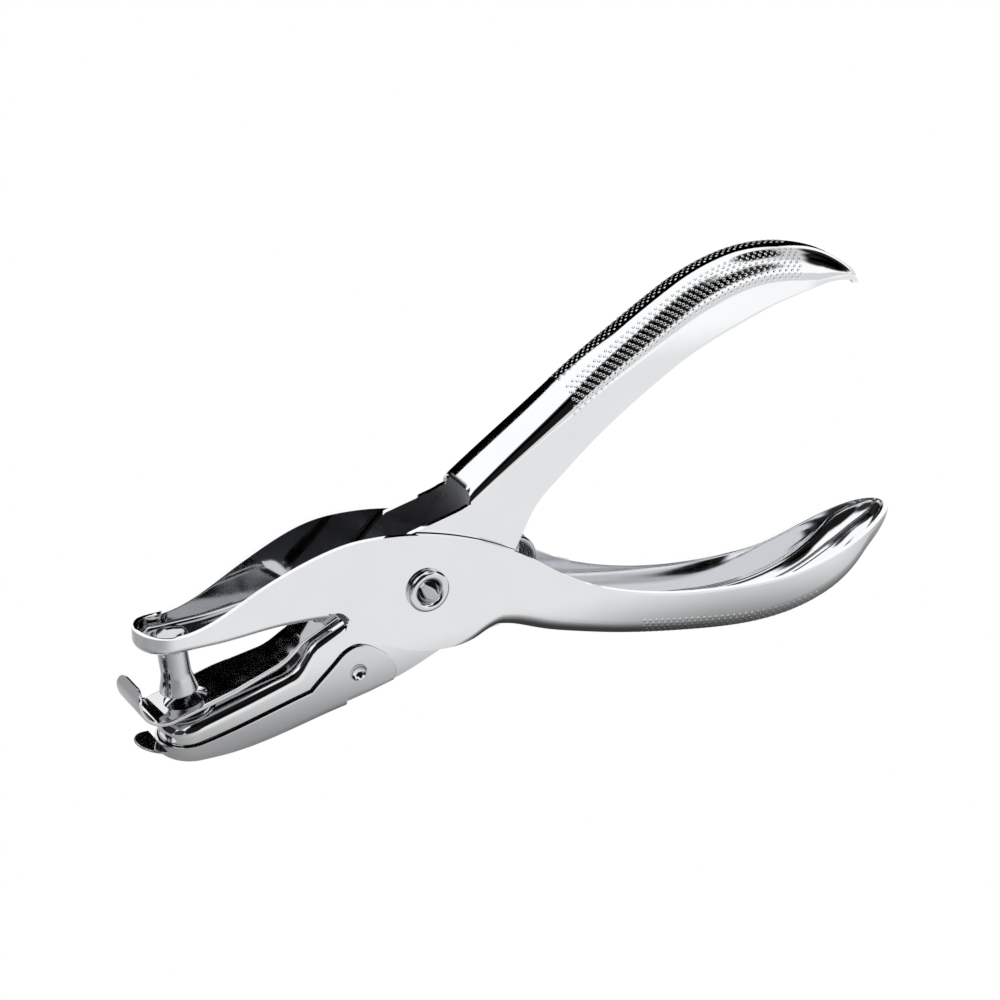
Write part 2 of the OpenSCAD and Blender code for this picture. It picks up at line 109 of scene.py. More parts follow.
def slope(line, x, near=0.1):
    """Rise of a line at x, for 1 mm forward."""
    return (level(line, x + near) - level(line, x - near)) / (2 * near)


def round_end(end, turn, way):
    """Station on a round end, seen from above: x, half width, inward run and its length."""
    centre, length, half = end
    c, s = math.cos(turn), math.sin(turn)
    steep = math.hypot(c / length, s / half)
    return (centre + way * length * c, half * s,
            -way * c / length / steep, -s / half / steep, half * half * steep)


def outline(front, side, rear, breaks, step, turns):
    """Stations along one half of a blank, from its front end to its rear end."""
    stations = [round_end(front, math.radians(90) * k / turns, -1) for k in range(turns + 1)]
    for a, b in zip(breaks, breaks[1:]):
        count = math.ceil((b - a) / step)
        for k in range(1, count + 1):
            x = a + (b - a) * k / count
            half = level(side, x)
            widen = slope(side, x)
            slant = math.hypot(1, widen)
            stations.append((x, half, widen / slant, -1 / slant, half * slant))
    if rear:
        stations += [round_end(rear, math.radians(90) * (1 - k / turns), 1)
                     for k in range(1, turns + 1)]
    return stations


def press_channel(stations, web, rim, edge, bend, curl, opening, up, rows):
    """Presses a flat blank into a channel: wall from the rim, bend of a height and a width, and
    web to the centre line. Between the opening's ends there is no web, and the wall curls in."""
    wall, turn, flat = rows
    half, count = wall + turn + flat, len(stations) - 1
    most = 0.85                         # largest share of the wall or the web that bends

    def section(station):
        x, width, run_x, run_y, reach = station
        cut = opening[0] < x < opening[1]
        foot, top = level(edge if cut else web, x), level(rim, x)
        tilt = 0 if cut else slope(web, x)
        wide = min(level(bend[1], x), most * reach)
        high = min(level(bend[0], x) * math.hypot(1, tilt), most * abs(top - foot))
        full = math.radians(level(curl, x)) if cut else math.radians(90)
        start = foot + up * high * math.sin(full)
        points = [Vector((x, width, top + (start - top) * k / wall)) for k in range(wall + 1)]
        for k in range(1, turn + flat + 1):
            angle = full * min(k, turn) / turn
            inward = wide * (1 - math.cos(angle))
            if k > turn:
                inward += (reach - inward) * (k - turn) / flat
            px = x + run_x * inward
            lift = up * high * (math.sin(full) - math.sin(angle))
            points.append(Vector((px, width + run_y * inward,
                                  (foot if cut else level(web, px)) + lift)))
        return points, cut, cut and full < 0.01

    pressed = [section(s) for s in stations]
    along = [0.0]
    for (a, *_), (b, *_) in zip(pressed, pressed[1:]):
        along.append(along[-1] + (b[wall] - a[wall]).length)
    blank = bmesh.new()
    bmesh.ops.create_grid(blank, x_segments=count, y_segments=2 * half, size=0.5)
    sheet_map = blank.loops.layers.uv.new("sheet_mm")
    spot = {v: (round((v.co.x + 0.5) * count), round((v.co.y + 0.5) * 2 * half))
            for v in blank.verts}
    across = [[sum((p[k + 1] - p[k]).length for k in range(j, half)) for j in range(half + 1)]
              for p, *_ in pressed]
    drop = []
    for face in blank.faces:
        lowest = min(min(spot[v][1], 2 * half - spot[v][1]) for v in face.verts)
        ends = [pressed[spot[v][0]] for v in face.verts]
        bare = any(e[2] for e in ends) and any(not e[1] for e in ends)
        if lowest >= wall + turn and any(e[1] for e in ends) or lowest >= wall and bare:
            drop.append(face)
        for corner in face.loops:
            i, j = spot[corner.vert]
            row = min(j, 2 * half - j)
            corner[sheet_map].uv = along[i], across[i][row] * (1 if j <= half else -1)
    for v, (i, j) in spot.items():
        x, width, z = pressed[i][0][min(j, 2 * half - j)]
        v.co = x, width * (-1 if j <= half else 1), z
    bmesh.ops.delete(blank, geom=drop, context="FACES")
    bmesh.ops.remove_doubles(blank, verts=blank.verts, dist=MERGE)
    blank.normal_update()
    near = min(blank.faces, key=lambda f: f.calc_center_median().y)
    if near.normal.y > 0:
        bmesh.ops.reverse_faces(blank, faces=blank.faces)
    return blank


def make_piece(made, name):
    """Turns a bmesh in mm round the pivot into an object in the frame."""
    bmesh.ops.transform(made, matrix=TO_FRAME, verts=made.verts)
    mesh = bpy.data.meshes.new(name)
    made.to_mesh(mesh)
    made.free()
    mesh.shade_smooth()
    piece = bpy.data.objects.new(name, mesh)
    bpy.context.scene.collection.objects.link(piece)
    return piece


def rods(places):
    """Round rods of radius and length along the Z of each place, as one bmesh."""
    made = bmesh.new()
    for radius, length, place in places:
        bmesh.ops.create_cone(made, cap_ends=True, segments=64, radius1=radius, radius2=radius,
                              depth=length, matrix=place)
    return made


def keep_shape(piece, cuts=(), joins=()):
    """Applies the modifiers and bores of a piece and keeps the result as its mesh."""
    tools = []
    for way, group in (("UNION", joins), ("DIFFERENCE", cuts)):
        for made in group:
            tool = make_piece(made, "tool")
            step = piece.modifiers.new("bore", "BOOLEAN")
            step.operation, step.object, step.solver = way, tool, "MANIFOLD"
            tools.append(tool)
    for last in (False, True):
        if last:
            piece.data.set_sharp_from_angle(angle=math.radians(40))
            even = piece.modifiers.new("even", "WEIGHTED_NORMAL")
            even.weight, even.keep_sharp = 100, True
        bpy.context.view_layer.update()
        view = bpy.context.evaluated_depsgraph_get()
        kept = bpy.data.meshes.new_from_object(piece.evaluated_get(view),
                                               preserve_all_data_layers=True, depsgraph=view)
        piece.modifiers.clear()
        piece.data = kept
    for tool in tools:
        bpy.data.objects.remove(tool)
    return piece


def give_thickness(piece, thickness, edge):
    """Sheet thickness to the inside, and rounded sheet edges. A second material is the inside's."""
    sheet = piece.modifiers.new("sheet", "SOLIDIFY")
    sheet.material_offset = len(piece.data.materials) - 1
    sheet.thickness, sheet.offset = thickness / 1000, -1
    sheet.use_even_offset = sheet.use_quality_normals = True
    rounding = piece.modifiers.new("edges", "BEVEL")
    rounding.width, rounding.segments, rounding.profile = edge / 1000, 3, 0.5
    rounding.limit_method, rounding.angle_limit = "ANGLE", math.radians(50)


def add_node(tree, kind, settings=None, values=None, links=None):
    """Adds a node with its settings, its sockets' values and its links."""
    made = tree.nodes.new(kind)
    for name, value in (settings or {}).items():
        setattr(made, name, value)
    for name, value in (values or {}).items():
        made.inputs[name].default_value = value
    for name, source in (links or {}).items():
        tree.links.new(source, made.inputs[name])
    return made


def shade(code):
    """Linear colour of an sRGB hex value."""
    parts = [int(code[k:k + 2], 16) / 255 for k in (1, 3, 5)]
    return [p / 12.92 if p <= 0.04045 else ((p + 0.055) / 1.055) ** 2.4 for p in parts] + [1]


def plated_steel(name, bright, dull, smooth, rough, wave_mm=5.0, wave=0.004):
    """Bright plate on polished steel. Broad soft waves of the pressed sheet bend its
    reflections, and a thin haze left by handling and buffing varies its tone and gloss."""
    finish = bpy.data.materials.new(name)
    finish.use_nodes = True
    tree = finish.node_tree
    shader = tree.nodes["Principled BSDF"]
    shader.inputs["Metallic"].default_value = 1.0
    haze_mm, buff_mm = 7.0, 1.6
    place = add_node(tree, "ShaderNodeTexCoord").outputs["Object"]
    haze = add_node(tree, "ShaderNodeTexNoise", None,
                    {"Scale": 1000 / haze_mm, "Detail": 4.0, "Roughness": 0.6}, {"Vector": place})
    tint = add_node(tree, "ShaderNodeMix", {"data_type": "RGBA"}, None,
                    {"Factor": haze.outputs["Fac"]})
    tint.inputs["A"].default_value = shade(bright)
    tint.inputs["B"].default_value = shade(dull)
    tree.links.new(tint.outputs["Result"], shader.inputs["Base Color"])
    buff = add_node(tree, "ShaderNodeTexNoise", None,
                    {"Scale": 1000 / buff_mm, "Detail": 3.0, "Roughness": 0.5}, {"Vector": place})
    gloss = add_node(tree, "ShaderNodeMapRange", None,
                     {"From Min": 0.3, "From Max": 0.7, "To Min": smooth, "To Max": rough},
                     {"Value": buff.outputs["Fac"]})
    tree.links.new(gloss.outputs["Result"], shader.inputs["Roughness"])
    swell = add_node(tree, "ShaderNodeTexNoise", None,
                     {"Scale": 1000 / wave_mm, "Detail": 0.5, "Roughness": 0.4},
                     {"Vector": place})
    bump = add_node(tree, "ShaderNodeBump", None,
                    {"Strength": 1.0, "Distance": wave / 1000}, {"Height": swell.outputs["Fac"]})
    tree.links.new(bump.outputs["Normal"], shader.inputs["Normal"])
    return finish


def grip_dots(blank, along, across, rise):
    """Small domes raised from the sheet in staggered rows on both of its bends. along is the
    first and last mm from the nose, across the same from the centre line, far and near side."""
    flat = blank.loops.layers.uv["sheet_mm"]
    corners = blank.calc_loop_triangles()
    spread = [[Vector((*c[flat].uv, 0)) for c in trio] for trio in corners]
    sheet = BVHTree.FromPolygons([p for trio in spread for p in trio],
                                 [(3 * k, 3 * k + 1, 3 * k + 2) for k in range(len(spread))])
    dome = Matrix.Diagonal((1, 1, rise, 1))
    made, line = bmesh.new(), bpy.data.meshes.new("dots")
    for side, (first, end) in zip((-1, 1), across):
        for row in range(math.floor((end - first) / ROW_STEP) + 1):
            dots = bmesh.new()
            for k in range(math.floor((along[1] - along[0]) / DOT_PITCH)):
                spot = Vector((along[0] + DOT_PITCH * (k + row % 2 / 2),
                               side * (first + ROW_STEP * row), 0))
                trio = sheet.find_nearest(spot)[2]
                rest = [c.vert.co for c in corners[trio]]
                place = Matrix.Translation(barycentric_transform(spot, *spread[trio], *rest))
                facing = corners[trio][0].face.normal.to_track_quat("Z", "Y").to_matrix().to_4x4()
                bmesh.ops.create_uvsphere(dots, u_segments=10, v_segments=6, radius=DOT / 2,
                                          matrix=place @ facing @ dome)
            dots.to_mesh(line)
            dots.free()
            made.from_mesh(line)
    bpy.data.meshes.remove(line)
    return made


outer_stations = outline(OUTER_NOSE, edge_line(OUTER_SIDE), OUTER_TIP,
                         (OUTER_NOSE[0], OUTER_OPEN[0], OUTER_CURL[1][0], OUTER_OPEN[1],
                          OUTER_TIP[0]), step=0.8, turns=18)
outer_blank = press_channel(
    outer_stations, edge_line(JAW_FLOOR) + edge_line(HANDLE_FLOOR), edge_line(OUTER_RIM),
    edge_line(CHEEK_FOOT), (straight_line(OUTER_BEND), straight_line(OUTER_ROUND)),
    straight_line(OUTER_CURL), OUTER_OPEN, up=1, rows=OUTER_ROWS)
outer_grip = grip_dots(outer_blank, OUTER_GRIP, (OUTER_GRIP_BAND, OUTER_GRIP_BAND), OUTER_DOT_RISE)
outer_lever = make_piece(outer_blank, "outer_lever")
# Bright chrome on pressed sheet: a mirror with a cool grey tone, buffed before plating
sheet_chrome = plated_steel("bright_chrome_pressed_sheet", "#ECEDEE", "#E3E4E6", 0.02, 0.045)
outer_lever.data.materials.append(sheet_chrome)
# Painted shade: the inside of the narrow jaw is painted a darker grey, a little rougher, and the
# inside of the open spoon bright
jaw_inside_painted_shade = plated_steel("inside_jaw_painted_shade", "#D6D7D9", "#C2C3C6", 0.04, 0.09)
tree = jaw_inside_painted_shade.node_tree
shader = tree.nodes["Principled BSDF"]
place = add_node(tree, "ShaderNodeSeparateXYZ", None, None,
                 {"Vector": add_node(tree, "ShaderNodeTexCoord").outputs["Object"]})
open_end = add_node(tree, "ShaderNodeMapRange", {"interpolation_type": "SMOOTHSTEP"},
                    {"From Min": -0.012, "From Max": 0.006}, {"Value": place.outputs["X"]})
# Painted shade inside the jaw, blending to the bright colour inside the spoon
painted_shade_mix = add_node(tree, "ShaderNodeMix", {"data_type": "RGBA"}, None,
                  {"Factor": open_end.outputs["Result"]})
painted_shade_mix.inputs["B"].default_value = shade("#E6E7E9")
tree.links.new(shader.inputs["Base Color"].links[0].from_socket, painted_shade_mix.inputs["A"])
tree.links.new(painted_shade_mix.outputs["Result"], shader.inputs["Base Color"])
outer_lever.data.materials.append(jaw_inside_painted_shade)
give_thickness(outer_lever, SHEET, SHEET_EDGE)


def leaning(x, z, lean):
    """Place whose Z leans back from upright by lean degrees."""
    return Matrix.Translation((x, 0, z)) @ Matrix.Rotation(math.radians(-lean), 4, "Y")


ACROSS = Matrix.Rotation(math.radians(90), 4, "X")      # Z towards the viewer's side
PIN_FOOT, PIN_TILT = (-39.8, -2.15), 7.0
keep_shape(outer_lever, [rods([(PIVOT_BORE, 40, ACROSS),
                               (PIN_BORE, 6, leaning(*PIN_FOOT, PIN_TILT))])])
outer_dots = make_piece(outer_grip, "outer_lever_grip")
outer_dots.data.materials.append(sheet_chrome)
for piece in (outer_lever, outer_dots):
    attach(piece, "punch_body")
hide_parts("punch_lever")

# Inner lever
# The lever that carries the die: one channel of the same sheet, open downwards, between
# the cheeks. Lower jaw, side walls with a window over the pivot, and the long upper
# handle with the dotted grip. Pressed and chromed like the outer lever.
DIE_MID, JAW_LEAN, SEAT_LEAN = (-37.4331, -13.453), 14.5, 25
INNER_OPEN = (-13.28, 8.1)              # the window, where the walls have no web
INNER_WEB_FRONT = [(-42.3, -15.007, JAW_LEAN), (-22.6, -9.912, JAW_LEAN),
                   (-18.0, -5.333, SEAT_LEAN), (INNER_OPEN[0], -3.132, SEAT_LEAN)]
INNER_WEB_REAR = [(INNER_OPEN[1], 13.93, 38), (25, 26.4, 37.5), (44, 38.7, 29.5),
                  (59.5, 43.05, 0), (70.5, 40.8, -23), (79, 35, -42)]
INNER_TOP = [(INNER_OPEN[0], -3.4, 60), (-2.3, 9.3, 43)]
INNER_TOP_REAR = [(-2.3, 9.3, 14), (5.6, 11.2, 14), (INNER_OPEN[1], 12.3, 40)]
INNER_FOOT = [(-42.6, -18.9, 0), (-34.4, -18.9, 0), (-13, -15.9, 9), (-4.9, -14.3, 15),
              (2.6, -11.4, 22), (7, -10.2, 5), (12.9, -9.6, 4)]
INNER_REAR = [(12.92, -7.4, 90), (15.6, 2.6, 58), (18.6, 8.4, 60), (24.4, 14.2, 42),
              (43.4, 27.6, 30), (58, 33.6, 19), (70, 36.1, 6), (79, 33.3, -42)]
INNER_BEND = [(-42.6, 1.9), (-30, 1.9), (-13.3, 1.2), (7.8, 1.5), (22, 2.5), (36, 3.9), (50, 4.8),
              (66, 4.5), (79, 3.0)]
INNER_ROUND = [(-42.6, 1.9), (-30, 1.9), (-13.3, 1.2), (7.8, 1.9), (22, 3.0), (36, 4.0), (66, 4.0),
               (79, 3.0)]
INNER_HALF, INNER_BEAK = 4.7, 64
INNER_SIDE = [(DIE_MID[0], INNER_HALF, 0), (INNER_BEAK, INNER_HALF, 0)]
INNER_TIP = (INNER_BEAK, 15, INNER_HALF)
INNER_CORNER = (12.9, 12.94)            # the walls' upright rear edge, before and after
INNER_ROWS = (12, 9, 6)
INNER_GRIP = (85.0, 130.0)
INNER_GRIP_FAR, INNER_GRIP_NEAR = (0.4, 7.2), (2.2, 7.2)
INNER_DOT_RISE = 0.26
INNER_BORE, DIMPLE_BORE, DIE_SEAT, RIVET_BORE = 2.56, 1.8, 3.62, 1.03
NO_CURL = [(-20, 0), (20, 0)]
inner_stations = outline((DIE_MID[0], INNER_HALF, INNER_HALF), edge_line(INNER_SIDE), INNER_TIP,
                         (DIE_MID[0], *INNER_OPEN, *INNER_CORNER, INNER_BEAK), step=0.8, turns=18)
inner_blank = press_channel(
    inner_stations, edge_line(INNER_WEB_FRONT) + edge_line(INNER_WEB_REAR),
    edge_line(INNER_FOOT) + edge_line(INNER_REAR),
    edge_line(INNER_TOP)[:-1] + edge_line(INNER_TOP_REAR),
    (straight_line(INNER_BEND), straight_line(INNER_ROUND)),
    straight_line(NO_CURL), INNER_OPEN, up=-1, rows=INNER_ROWS)
inner_grip = grip_dots(inner_blank, INNER_GRIP, (INNER_GRIP_FAR, INNER_GRIP_NEAR), INNER_DOT_RISE)
inner_lever = make_piece(inner_blank, "inner_lever")
inner_lever.data.materials.append(sheet_chrome)
# The closed inside of this lever is painted a darker grey for shade, and is hazy: rough nickel that
# was never buffed
inner_lever.data.materials.append(
    plated_steel("hazy_nickel_painted_shade_inside_lever", "#B9BABD", "#A8A9AC", 0.26, 0.36))
give_thickness(inner_lever, SHEET, SHEET_EDGE)
HINGE = (-11.5, -11.6)
RIVET_SEAT = (-15.1406, -3.40345)
keep_shape(inner_lever, [rods([
    (INNER_BORE, 40, ACROSS),
    (DIMPLE_BORE, 40, Matrix.Translation((HINGE[0], 0, HINGE[1])) @ ACROSS),
    (DIE_SEAT, 6, leaning(*DIE_MID, JAW_LEAN)),
    (RIVET_BORE, 4, leaning(*RIVET_SEAT, SEAT_LEAN))])])
inner_dots = make_piece(inner_grip, "inner_lever_grip")
inner_dots.data.materials.append(sheet_chrome)
for piece in (inner_lever, inner_dots):
    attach(piece, "die_body")
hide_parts("die_lever")

# Pivot rivet
# Semi-tubular steel rivet through both levers, its near end rolled over into a rim
# with an open bore, its far end a low dome. Bright plated.
RIVET_FACE = 5.88


def turned(profile, place, steps=96):
    """Spins a profile of radius and height points round Z and sets it in place."""
    made = bmesh.new()
    line = [made.verts.new((r, 0, h)) for r, h in profile]
    for a, b in zip(line, line[1:]):
        made.edges.new((a, b))
    bmesh.ops.spin(made, geom=made.verts[:] + made.edges[:], cent=(0, 0, 0), axis=(0, 0, 1),
                   angle=math.radians(360), steps=steps, use_merge=True)
    bmesh.ops.remove_doubles(made, verts=made.verts, dist=MERGE)
    bmesh.ops.recalc_face_normals(made, faces=made.faces)
    bmesh.ops.transform(made, matrix=place, verts=made.verts)
    return made


def arc(centre_r, centre_h, wide, high, first, last, steps=10):
    """Points of a rounded corner in a turned profile."""
    return [(centre_r + wide * math.cos(math.radians(first + (last - first) * k / steps)),
             centre_h + high * math.sin(math.radians(first + (last - first) * k / steps)))
            for k in range(steps + 1)]


def ease_edges(piece, width, segments=3, least=40):
    """Breaks the sharp edges of a turned or cut piece."""
    rounding = piece.modifiers.new("edges", "BEVEL")
    rounding.width, rounding.segments, rounding.profile = width / 1000, segments, 0.5
    rounding.limit_method, rounding.angle_limit = "ANGLE", math.radians(least)


rivet_profile = ([(0, RIVET_FACE - 2.1), (0.55, RIVET_FACE - 2.1), (1.85, RIVET_FACE - 0.7),
                  (2.0, RIVET_FACE + 0.3)]
                 + arc(2.72, RIVET_FACE + 0.45, 0.72, 0.65, 180, 0, 16)[1:]
                 + [(3.45, RIVET_FACE), (2.5, RIVET_FACE), (2.5, -RIVET_FACE),
                    (3.9, -RIVET_FACE)]
                 + arc(0, -RIVET_FACE - 0.12, 3.9, 0.98, 0, -90, 14))
pivot_rivet = make_piece(turned(rivet_profile, ACROSS), "pivot_rivet_plated")
# Bright plate on a turned and rolled head: fine rings, a little duller than the sheet
rivet_plate = plated_steel("bright_plate_rolled_rivet", "#DFE0E1", "#CDCED0", 0.05, 0.12,
                           wave_mm=0.9, wave=0.004)
pivot_rivet.data.materials.append(rivet_plate)
ease_edges(pivot_rivet, width=0.06, segments=2)
keep_shape(pivot_rivet)
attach(pivot_rivet, "punch_body")
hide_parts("pivot_rivet")

# Punch pin
# Turned and hardened steel pin: flared cutting head with a hollow face, neck, and a
# shoulder under the jaw. Its shank goes through the jaw's floor and is peened over.
PIN_TIP = (-38.813, -10.19)
pin_place = leaning(*PIN_TIP, PIN_TILT)
pin_made = turned([(0, 0.35), (2.5, 0.3), (2.8, 0.02), (2.9, 0.05), (2.95, 0.15), (2.95, 0.4),
                   (2.4, 2.65), (2.34, 3.0), (2.32, 3.4), (2.32, 7.3), (2.4, 7.4), (2.4, 9.2),
                   (0, 9.2)], pin_place)
JAW_UNDER = -2.19


def cut_level(made, z, keep_below):
    """Cuts a closed shape at a level and closes the cut."""
    geometry = made.verts[:] + made.edges[:] + made.faces[:]
    bmesh.ops.bisect_plane(made, geom=geometry, plane_co=(0, 0, z), plane_no=(0, 0, 1),
                           clear_outer=keep_below, clear_inner=not keep_below)
    rim_edges = [e for e in made.edges if e.is_boundary]
    bmesh.ops.contextual_create(made, geom=rim_edges)
    bmesh.ops.recalc_face_normals(made, faces=made.faces)
    return made


punch_pin = make_piece(cut_level(pin_made, JAW_UNDER, True), "punch_pin_turned")
peen = cut_level(turned([(0, -0.6), (2.85, -0.6), (2.85, 0.9), (2.6, 1.6), (1.9, 2.05), (0, 2.2)],
                        leaning(*PIN_FOOT, PIN_TILT)), JAW_UNDER + 0.04 + SHEET + 0.04, False)
shank = turned([(0, 6.6), (1.92, 6.6), (1.92, 9.9), (0, 9.9)], pin_place)


def turned_steel(name, bright, dull, ring_mm, axis):
    """Hardened steel as it comes from the lathe and the polishing wheel: a grey mirror with
    fine tool rings round the axis, drawn coarser than real so that they show."""
    finish = plated_steel(name, bright, dull, 0.07, 0.15, wave_mm=2.0, wave=0.002)
    tree = finish.node_tree
    shader = tree.nodes["Principled BSDF"]
    ring_deep = 0.002
    first = shader.inputs["Normal"].links[0].from_socket
    place = add_node(tree, "ShaderNodeTexCoord").outputs["Object"]
    height = add_node(tree, "ShaderNodeVectorMath", {"operation": "DOT_PRODUCT"}, None,
                      {0: place})
    height.inputs[1].default_value = axis
    rings = add_node(tree, "ShaderNodeMath", {"operation": "MULTIPLY"}, None,
                     {0: height.outputs["Value"]})
    rings.inputs[1].default_value = 2 * math.pi * 1000 / ring_mm
    ripple = add_node(tree, "ShaderNodeMath", {"operation": "SINE"}, None,
                      {0: rings.outputs["Value"]})
    tool = add_node(tree, "ShaderNodeBump", None, {"Strength": 0.25, "Distance": ring_deep / 1000},
                    {"Height": ripple.outputs["Value"], "Normal": first})
    tree.links.new(tool.outputs["Normal"], shader.inputs["Normal"])
    return finish


pin_axis = pin_place.to_3x3() @ Vector((0, 0, 1))
punch_pin.data.materials.append(
    turned_steel("polished_turned_pin_steel", "#D2D3D5", "#BFC0C3", 0.22, pin_axis))
ease_edges(punch_pin, width=0.05, segments=2, least=30)
keep_shape(punch_pin, joins=[shank, peen])
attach(punch_pin, "punch_body")
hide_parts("punch_pin")

# Die bush
# Hardened steel ring pressed through the lower jaw. The pin enters its bore, whose
# sharp edge cuts the sheet, and the bore is relieved below so that the chips drop.
die_place = leaning(*DIE_MID, JAW_LEAN)
die_bush = make_piece(turned([(3.3, -0.8), (3.3, -0.03), (3.33, 0), (4.12, 0), (4.2, -0.06),
                              (4.2, -0.26), (3.6, -0.26), (3.6, -2.15), (3.55, -2.2),
                              (3.45, -2.2), (3.45, -0.8), (3.3, -0.8)], die_place),
                      "die_bush_turned")
die_axis = die_place.to_3x3() @ Vector((0, 0, 1))
die_bush.data.materials.append(
    turned_steel("ground_die_ring_steel", "#C4C5C8", "#AEB0B4", 0.25, die_axis))
keep_shape(die_bush)
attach(die_bush, "die_body")
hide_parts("die_bush")

# Stripper plate
# Spring strip, 0.5 mm: lies over the die with a hole for the pin, pulls the sheet off
# the pin, and ends in a turned-up tongue. Its tail is riveted to the lower jaw's seat.
STRIP = 0.5
STRIP_BEND = [(-46.1, -7.2, -106), (-46.6, -9.2, -88), (-45.7, -11.5, -48), (-43.4, -12.75, -8),
              (-41.4660, -12.6363, JAW_LEAN), (-24.0872, -8.1419, JAW_LEAN),
              (-19.1284, -5.26297, SEAT_LEAN), (-13.7812, -2.76952, SEAT_LEAN)]
STRIP_SIDE = [(-48.5, 4.2), (-43.0, 4.6), (-31.433, 4.7), (-19.9, 3.0), (-13.7812, 3.0)]
TONGUE_ROUND = 2.4
strip_stations, run, last = [], 0.0, None
for spot in edge_line(STRIP_BEND, 40):
    run += (spot - last).length if last else 0
    last = spot
    corner = TONGUE_ROUND - math.sqrt(TONGUE_ROUND ** 2 - max(TONGUE_ROUND - run, 0) ** 2)
    strip_stations.append((spot.x, level(straight_line(STRIP_SIDE), spot.x) - corner, spot.z))
STRIP_ROWS = 16
strip_blank = bmesh.new()
bmesh.ops.create_grid(strip_blank, x_segments=len(strip_stations) - 1, y_segments=STRIP_ROWS,
                      size=0.5)
for v in strip_blank.verts:
    x, half, z = strip_stations[round((v.co.x + 0.5) * (len(strip_stations) - 1))]
    v.co = x, 2 * v.co.y * half, z
bmesh.ops.remove_doubles(strip_blank, verts=strip_blank.verts, dist=MERGE)
strip_blank.normal_update()
if sum(f.normal.z for f in strip_blank.faces) < 0:
    bmesh.ops.reverse_faces(strip_blank, faces=strip_blank.faces)
stripper = make_piece(strip_blank, "stripper_strip")
# Bright plate on rolled strip: a mirror with a slight haze, softer than the pressed sheet
strip_plate = plated_steel("bright_plate_spring_strip", "#DCDDDF", "#CFD0D2", 0.04, 0.09,
                           wave_mm=4.0, wave=0.003)
stripper.data.materials.append(strip_plate)
give_thickness(stripper, STRIP, edge=0.1)
SLOT_TOP, STRIP_HOLE = 1.3, 3.4         # plate above the die, and its hole's radius
strip_hole = (DIE_MID[0] - SLOT_TOP * math.sin(math.radians(JAW_LEAN)),
              DIE_MID[1] + SLOT_TOP * math.cos(math.radians(JAW_LEAN)))
keep_shape(stripper, [rods([(STRIP_HOLE, 4, leaning(*strip_hole, JAW_LEAN)),
                            (RIVET_BORE, 3, leaning(*RIVET_SEAT, SEAT_LEAN))])])
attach(stripper, "die_body")
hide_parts("stripper_plate")

# Stripper rivet
# Small solid rivet through the strip's tail and the lower jaw's seat, headed on both
# sides. Bright plated like the pivot rivet.
strip_rivet = make_piece(turned(
    [(0, 0.34), (0.95, 0.34), (1.32, 0.22), (1.5, 0.04), (1.0, 0.04), (1.0, -1.38),
     (1.5, -1.38), (1.32, -1.56), (0.95, -1.68), (0, -1.68)],
    leaning(*RIVET_SEAT, SEAT_LEAN), 40), "stripper_rivet_plated")
strip_rivet.data.materials.append(rivet_plate)
keep_shape(strip_rivet)
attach(strip_rivet, "die_body")
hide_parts("stripper_rivet")

# Return spring
# Torsion spring of 1.1 mm drawn steel wire: a short coil in the crotch of the levers,
# with one leg along each handle that pushes them apart. Plated, loose on its coil.
COIL_MID, COIL_R, COIL_PITCH, WIRE = (16.4, -0.8), 4.0, 1.6, 1.1
COIL_FROM, COIL_TO, COIL_Y = -117.7, -1291.8, 2.609
LEG_LOW = [(28.9041, -14.3054), (29.2257, -13.2535), (29.5473, -12.2016)]
LEG_TOP = [(26.9724, 23.8295), (26.3028, 24.7022), (25.6331, 25.5749)]
COIL_STEPS = 160
wire_path = [Vector((x, -COIL_Y, z)) for x, z in LEG_LOW]
for k in range(COIL_STEPS + 1):
    angle = COIL_FROM + (COIL_TO - COIL_FROM) * k / COIL_STEPS
    wire_path.append(Vector((COIL_MID[0] + COIL_R * math.cos(math.radians(angle)),
                             COIL_PITCH * (COIL_FROM - angle) / 360 - COIL_Y,
                             COIL_MID[1] + COIL_R * math.sin(math.radians(angle)))))
wire_path += [Vector((x, COIL_Y, z)) for x, z in LEG_TOP]
wire_curve = bpy.data.curves.new("wire", "CURVE")
wire_curve.dimensions = "3D"
wire_curve.bevel_depth, wire_curve.bevel_resolution = WIRE / 2000, 4
wire_curve.use_fill_caps = True
thread = wire_curve.splines.new("POLY")
thread.points.add(len(wire_path) - 1)
for point, spot in zip(thread.points, wire_path):
    point.co = (*(TO_FRAME @ spot), 1)
wire_shape = bpy.data.objects.new("wire", wire_curve)
spring = bpy.data.objects.new("return_spring_wire", bpy.data.meshes.new_from_object(wire_shape))
bpy.data.objects.remove(wire_shape)
bpy.context.scene.collection.objects.link(spring)
spring_ends = bmesh.new()
spring_ends.from_mesh(spring.data)
bmesh.ops.remove_doubles(spring_ends, verts=spring_ends.verts, dist=1e-6)
bmesh.ops.recalc_face_normals(spring_ends, faces=spring_ends.faces)
spring_ends.to_mesh(spring.data)
spring_ends.free()
spring.data.shade_smooth()
spring.data.set_sharp_from_angle(angle=math.radians(50))
spring.data.materials.clear()
# Plated over drawn wire: greyer and softer than the sheet, with short waves from drawing
spring.data.materials.append(plated_steel("plated_drawn_spring_wire", "#C6C7CA", "#A9ABAF",
                                          0.10, 0.20, wave_mm=1.2, wave=0.003))
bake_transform(spring)
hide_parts("return_spring")

